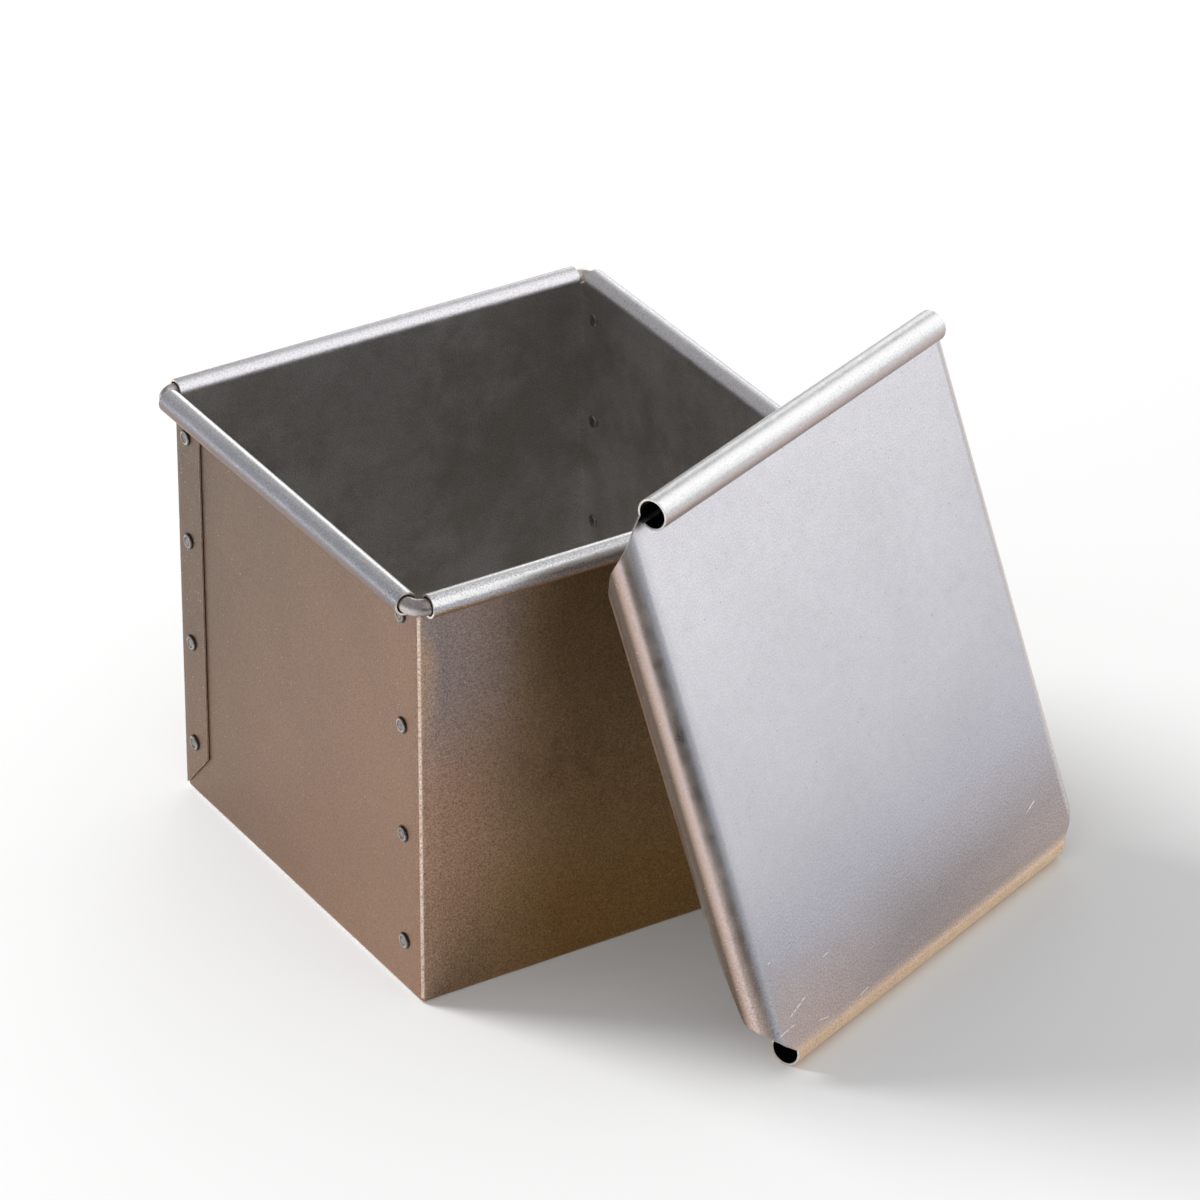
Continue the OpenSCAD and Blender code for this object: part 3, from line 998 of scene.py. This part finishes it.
links.new(size.outputs[0], setting.inputs["Scale"])
end_tree(row_tree, given, setting.outputs["Instances"])

# One point for the lowest rivet of each row: front rows on the side wall, back rows on the outer flap
rows_mesh = bpy.data.meshes.new("rivet rows")
starts, steps, facings = [], [], []
for hand in (-1, 1):
    for (row_y, low, high), out in zip(rivet_rows, (inner_half + sheet, inner_half + held)):
        starts.append((hand * out * mm, row_y * mm, low * mm))
        steps.append((high - low) / (rivets_each - 1) * mm)
        facings.append(0 if hand > 0 else math.pi)
rows_mesh.from_pydata(starts, [], [])
for name, values in (("step", steps), ("facing", facings)):
    rows_mesh.attributes.new(name, "FLOAT", "POINT").data.foreach_set("value", values)
rows = put_in_scene("rivet rows", rows_mesh)
riveting = rows.modifiers.new("rivet rows", "NODES")
riveting.node_group = row_tree
riveting[rivet_id] = rivet_pattern
riveting[each_id] = rivets_each
riveting[vary_id] = rivet_variation
riveting[seed_id] = rivet_seed
riveting[rivet_finish_id] = rivet_finish
rivets = grown_mesh(rows, "corner_rivets")
bpy.data.objects.remove(rivet_pattern)
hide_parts(*[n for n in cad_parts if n.startswith("rivet_")])
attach(rivets, "pan")


# Lid: one loose sheet of aluminised steel with a stop roll curled under one short edge, a draw roll curled
# up on the outer face at the other, and a round channel down each long edge. Its corners are cut away on
# the flat blank.
flat_half = 63.3
roll_half = 59.7
lid_length = 143.0
end_roll = 4.2
end_mid = end_roll - half_sheet
end_open = math.degrees(math.acos((end_roll - sheet) / end_roll) + curl_gap / end_roll)
channel = 6.0
channel_mid = channel - half_sheet
channel_turn = 190
channel_steps = 38
foot_cut = 3.0
head_cut = 2.2
cut_slope = 0.95
foot_lip_slope = 6.5
head_lip_slope = 1.6
lip_depth = 1.7 * channel
lid_strips = 24
lid_steps = 22
close_up = (0, 0.01, 0.03, 0.06)
stand_x = 57.5
stand_y = -107.22
lid_yaw = 22
lid_slope = 70


def cut_back(corner, lip_slope, turn):
    """How far the corner cut stands back from the end of the lid, at an angle round the channel."""
    back = corner + cut_slope * channel * min(turn, math.pi / 2)
    depth = channel * (1 - math.cos(turn))
    if depth > channel:
        back += lip_slope * (min(depth, lip_depth) - channel)
        back += max(0, depth - lip_depth)
    return back


def lid_ends(u):
    """Where the flat panel starts and ends, at a distance across it."""
    past = max(0, abs(u) - roll_half) / (flat_half - roll_half)
    return foot_cut * past, lid_length - head_cut * past


lid_blank = bmesh.new()
along = [*close_up[:-1], *spread(close_up[-1], 1 - close_up[-1], lid_steps)]
along += [1 - share for share in reversed(close_up[:-1])]
across = spread(-roll_half, roll_half, lid_strips)
across = [-flat_half, (-flat_half - roll_half) / 2] + across + [(flat_half + roll_half) / 2, flat_half]
panel_rows = []
for t in along:
    ends = [lid_ends(u) for u in across]
    panel_rows.append([(u, foot * (1 - t) + head * t, -half_sheet) for u, (foot, head) in zip(across, ends)])
grid_faces(lid_blank, panel_rows)
for hand in (-1, 1):
    turns = [math.radians(a) for a in spread(0, channel_turn, channel_steps)]
    grid_faces(lid_blank, [
        [
            (
                hand * (flat_half + channel_mid * math.sin(turn)),
                cut_back(foot_cut, foot_lip_slope, turn) * (1 - t)
                + (lid_length - cut_back(head_cut, head_lip_slope, turn)) * t,
                channel_mid * math.cos(turn) - channel,
            )
            for turn in turns
        ]
        for t in along
    ])
roll_across = across[2:-2]
curls = [math.radians(a) for a in spread(0, 360 - end_open, roll_steps)]
grid_faces(lid_blank, [
    [(u, -end_mid * math.sin(a), end_mid * math.cos(a) - end_roll) for u in roll_across] for a in curls
])
grid_faces(lid_blank, [
    [(u, lid_length + end_mid * math.sin(a), end_roll - sheet - end_mid * math.cos(a)) for u in roll_across]
    for a in curls
])

# It stands on its stop roll, turned to the right and leaning back on the corner of the rim
lid_stand = (
    Matrix.Translation((stand_x * mm, stand_y * mm, end_roll * mm))
    @ Matrix.Rotation(math.radians(lid_yaw), 4, "Z")
    @ Matrix.Rotation(math.radians(lid_slope), 4, "X")
    @ Matrix.Translation((0, 0, end_roll * mm))
)
bmesh.ops.transform(lid_blank, matrix=lid_stand, verts=lid_blank.verts)
lid = sheet_piece("lid_sheet", lid_blank, sheet, raw_edge)

# Its finish: silver, with painted reflection and shade from bright at the top to dull and warm towards the
# foot, painted highlight, reflection and shade round the channels and the draw roll, a painted warm
# reflection on the stop roll, painted shade inside the rolls, and scratches near the foot by sliding.
# The lid's and the stop roll's tones run in millimetres, the others in degrees round their bend.
# The lid's tones along it are painted reflection and shade: bright at the top, darker and warmer towards the
# foot, and a little darker to the right.
lid_light_tones = [
    (0, (0.450, 0.378, 0.358)),
    (8, (0.395, 0.350, 0.352)),
    (30, (0.495, 0.486, 0.543)),
    (62, (0.625, 0.620, 0.665)),
    (134, (0.800, 0.787, 0.833)),
]
# A painted warm reflection low on the left of the lid
foot_left = (0.60, 0.49, 0.46)
# Round each channel the tones are painted highlight, reflection and shade: a dark band by the panel, a
# bright warm band, and dark brown on the outer side, dimmer towards the foot. The right channel has its own.
channel_light_tones = [
    (8, (0.43, 0.43, 0.47)),
    (18, (0.32, 0.32, 0.35)),
    (26, (0.31, 0.31, 0.33)),
    (35, (0.63, 0.57, 0.545)),
    (48, (0.89, 0.75, 0.69)),
    (60, (0.75, 0.61, 0.58)),
    (73, (0.56, 0.415, 0.353)),
    (88, (0.166, 0.120, 0.093)),
    (98, (0.17, 0.126, 0.098)),
    (110, (0.29, 0.245, 0.215)),
    (120, (0.64, 0.59, 0.56)),
]
channel_foot_shade = (0.34, 0.24, 0.20)
far_channel_light_tones = [
    (5, (0.53, 0.51, 0.515)),
    (15, (0.58, 0.535, 0.53)),
    (40, (0.73, 0.68, 0.64)),
    (62, (0.74, 0.62, 0.54)),
    (88, (0.17, 0.13, 0.105)),
    (120, (0.34, 0.26, 0.22)),
]
# A painted warm reflection and highlight on the stop roll, also laid on the panel's edge beside it
stop_roll_reflection = [(-4.2, (0.75, 0.47, 0.33)), (-1.6, (1.0, 0.78, 0.52)), (0, (1.0, 0.72, 0.52))]
# Round the draw roll: a painted highlight band, and painted shade where it meets the panel
draw_roll_light = [
    (-80, (0.60, 0.60, 0.60)),
    (-66, (0.90, 0.90, 0.90)),
    (-40, (1.0, 1.0, 1.0)),
    (-28, (1.0, 1.0, 1.0)),
    (-8, (0.82, 0.82, 0.83)),
    (5, (0.68, 0.66, 0.67)),
    (20, (0.55, 0.44, 0.42)),
    (50, (0.22, 0.185, 0.17)),
]
lid_inside = (0.72, 0.71, 0.70)
inside_roll_shade = (0.12, 0.115, 0.11)
scratches = [
    ((-50.5, 11.2), (-59.3, 8.8), 0.17),
    ((-58.6, 6.5), (-65.6, 6.2), 0.14),
    ((-45.1, 2.2), (-49.0, 3.1), 0.12),
    ((-59.2, 24.6), (-61.4, 24.5), 0.12),
    ((52.3, 14.8), (47.9, 13.3), 0.15),
    ((-28.6, 2.0), (-32.3, 1.6), 0.10),
    ((-38.3, 17.0), (-43.8, 16.4), 0.10),
]

lid_patches = (20, 2)
lid_wander = 0.014
lid_slant = -0.07
foot_left_across = (-0.005, -0.060)
foot_left_along = (0.034, 0.004)
stop_line = (0.0024, -0.0014)
near_bend = (-0.0605, -0.0640)
near_bend_share = 0.35
bend_from = (0.0, math.radians(12))
right_half = (-0.001, 0.001)
dull_along = (0.060, 0.025)
dull_from = (math.radians(20), math.radians(38))
dull_to = (math.radians(64), math.radians(50))
dull_share = 0.6
channel_hollow = ((channel - 0.25) * mm, (channel - 0.4) * mm)
before_foot = (0.0003, -0.0003)
below_panel = (-0.0008, -0.0011)
above_panel = (0.0001, 0.0002)
past_head = (0.1427, 0.1433)
curl_skin = ((end_roll + 0.25) * mm, (end_roll + 0.15) * mm)
curl_hollow = (0.00385, 0.00372)
scratch_pattern = (700, 2)
scratch_band = (0.40, 0.52)
grain_least = 0.5
head_grain = 0.2
head_band = (0.080, 0.125)
foot_grain = 0.8
foot_band = (0.055, 0.010)
lid_gloss = 0.33
lid_clouds = 1.0


def laid_flat(finish):
    """Places on the lid as it was before it was stood up: across it, along it and out of it."""
    turn_back = finish.nodes.new("ShaderNodeMapping")
    turn_back.vector_type = "TEXTURE"
    turn_back.inputs["Location"].default_value = lid_stand.translation
    turn_back.inputs["Rotation"].default_value = lid_stand.to_euler("XYZ")
    finish.links.new(finish.place, turn_back.inputs["Vector"])
    return turn_back.outputs["Vector"]


plate = Finish("lid_sheet_steel")
on_lid = laid_flat(plate)
u, v, w = plate.axes(on_lid)
uneven = plate.number("SUBTRACT", plate.noise(on_lid, *lid_patches), 0.5)
along_lid = plate.number("MULTIPLY_ADD", uneven, lid_wander, v)
along_lid = plate.number("MULTIPLY_ADD", u, lid_slant, along_lid)
# Lid panel: painted reflection and shade along it
tone = plate.ramp(along_lid, mm, lid_light_tones)
# A painted warm reflection low on the left of the lid
low_left = plate.both(plate.band(u, *foot_left_across), plate.band(along_lid, *foot_left_along))
tone = plate.mix(low_left, tone, foot_left)
# Painted warm reflection on the panel's edge by the stop roll
tone = plate.mix(plate.band(v, *stop_line), tone, stop_roll_reflection[-1][1])
past_flat = plate.number("SUBTRACT", plate.number("ABSOLUTE", u), flat_half * mm)
past_flat = plate.number("MAXIMUM", past_flat, 0.0)
above_axis = plate.number("ADD", w, channel * mm)
turn = plate.number("ARCTAN2", past_flat, above_axis)
# Painted shade on the panel by the left bend, and painted light round the channels
tone = plate.mix(plate.both(plate.band(u, *near_bend), near_bend_share), tone, channel_light_tones[0][1])
bend_light_tone = plate.mix(
    plate.band(u, *right_half),
    plate.ramp(turn, degree, channel_light_tones),
    plate.ramp(turn, degree, far_channel_light_tones),
)
channel_foot_shade_share = plate.both(
    plate.band(v, *dull_along),
    plate.band(turn, *dull_from),
    plate.band(turn, *dull_to),
    dull_share,
)
bend_light_tone = plate.mix(channel_foot_shade_share, bend_light_tone, channel_foot_shade)
tone = plate.mix(plate.band(turn, *bend_from), tone, bend_light_tone)
under = plate.band(plate.gap(past_flat, above_axis, 0, 0), *channel_hollow)
tone = plate.mix(under, tone, lid_inside)
below = plate.number("MAXIMUM", plate.band(v, *before_foot), plate.band(w, *below_panel))
above = plate.number("MAXIMUM", plate.band(w, *above_panel), plate.band(v, *past_head))
round_draw = plate.number(
    "ARCTAN2",
    plate.number("SUBTRACT", lid_length * mm, v),
    plate.number("SUBTRACT", w, (end_roll - sheet) * mm),
)
for middle_v, middle_w, curled, curl_tone in (
    (0, -end_roll, below, plate.ramp(w, mm, stop_roll_reflection)),
    (lid_length, end_roll - sheet, above, plate.ramp(round_draw, degree, draw_roll_light)),
):
    from_axis = plate.gap(v, w, middle_v, middle_w)
    tone = plate.mix(plate.both(plate.band(from_axis, *curl_skin), curled), tone, curl_tone)
    # Painted shade inside the roll
    tone = plate.mix(plate.band(from_axis, *curl_hollow), tone, inside_roll_shade)
marks = None
for start, end, width in scratches:
    start = Vector((*start, 0)) * mm
    run = Vector((*end, 0)) * mm - start
    away = plate.vector("SUBTRACT", on_lid, tuple(start))
    share = plate.number("MULTIPLY", plate.vector("DOT_PRODUCT", away, tuple(run)), 1 / run.length_squared)
    share = plate.number("MINIMUM", plate.number("MAXIMUM", share, 0.0), 1.0)
    nearest = plate.vector("SCALE", tuple(run), scale=share)
    distance = plate.vector("LENGTH", plate.vector("SUBTRACT", away, nearest))
    line = plate.band(distance, width * mm, width * mm * 0.5)
    marks = line if marks is None else plate.number("MAXIMUM", marks, line)
marks = plate.both(marks, plate.band(plate.noise(on_lid, *scratch_pattern), *scratch_band))
grain = plate.number("MULTIPLY_ADD", plate.band(v, *head_band), head_grain, grain_least)
grain = plate.number("MULTIPLY_ADD", plate.band(v, *foot_band), foot_grain, grain)
lid.data.materials.append(plate.satin(on_lid, tone, lid_gloss, grain, lid_clouds, marks))

# Its cut edges: bare steel, worn bright in places, with painted shade along the two edges that end inside
# the rolls
trim_plain = (0.80, 0.72, 0.65)
trim_worn = (0.92, 0.90, 0.88)
trim_gloss = 0.4
trim_pattern = (200, 2)
trim_band = (0.4, 0.6)
inside_roll = (0.0595, 0.0593)

trim = Finish("lid_cut_edge")
u = trim.axes(laid_flat(trim))[0]
tone_share = trim.band(trim.noise(trim.place, *trim_pattern), *trim_band)
edge_tone = trim.mix(tone_share, trim_plain, trim_worn)
in_roll = trim.band(trim.number("ABSOLUTE", u), *inside_roll)
lid.data.materials.append(trim.satin(trim.place, trim.mix(in_roll, edge_tone, inside_roll_shade), trim_gloss))

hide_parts("lid")
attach(lid, "lid")


# Last, the scene is brought up to date.
bpy.context.view_layer.update()
